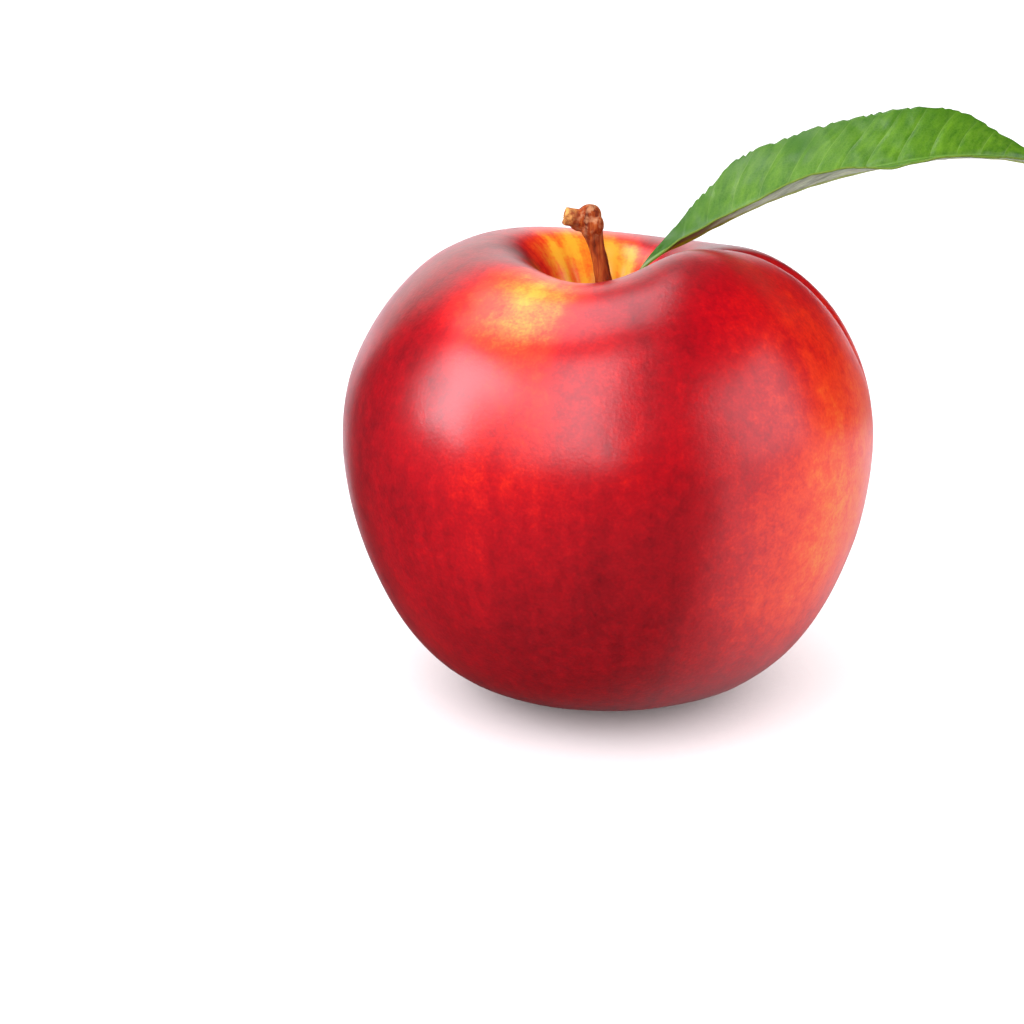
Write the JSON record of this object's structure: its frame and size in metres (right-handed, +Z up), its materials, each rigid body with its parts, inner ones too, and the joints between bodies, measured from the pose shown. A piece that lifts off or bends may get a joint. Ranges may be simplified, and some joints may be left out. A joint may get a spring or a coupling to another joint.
{
  "type": "whole nectarine with stalk and leaf",
  "caption": "Whole ripe nectarine with a smooth red skin, a seam down one side, a woody stalk in its stem cavity and a folded serrated leaf reaching out beside it.",
  "frame": {"origin": "middle of the small flat spot on the underside that the fruit rests on", "axes": "+Z up, +X towards the suture and the leaf's tip, -Y towards the broad front hollow; the fruit leans back towards +Y"},
  "size_m": [0.0915, 0.0645, 0.0727],
  "materials": {
    "skin": "smooth waxy fruit skin, deep red over yellow-orange, with fine streaks and pale dots",
    "bark": "rough reddish-brown twig bark with a pale broken end",
    "leaf_blade": "fresh green leaf, faintly waxy above and paler below, with fine veins"
  },
  "bodies": {
    "root": {"fruit": "skin", "stalk": "bark", "leaf": "leaf_blade"}
  },
  "joints": []
}
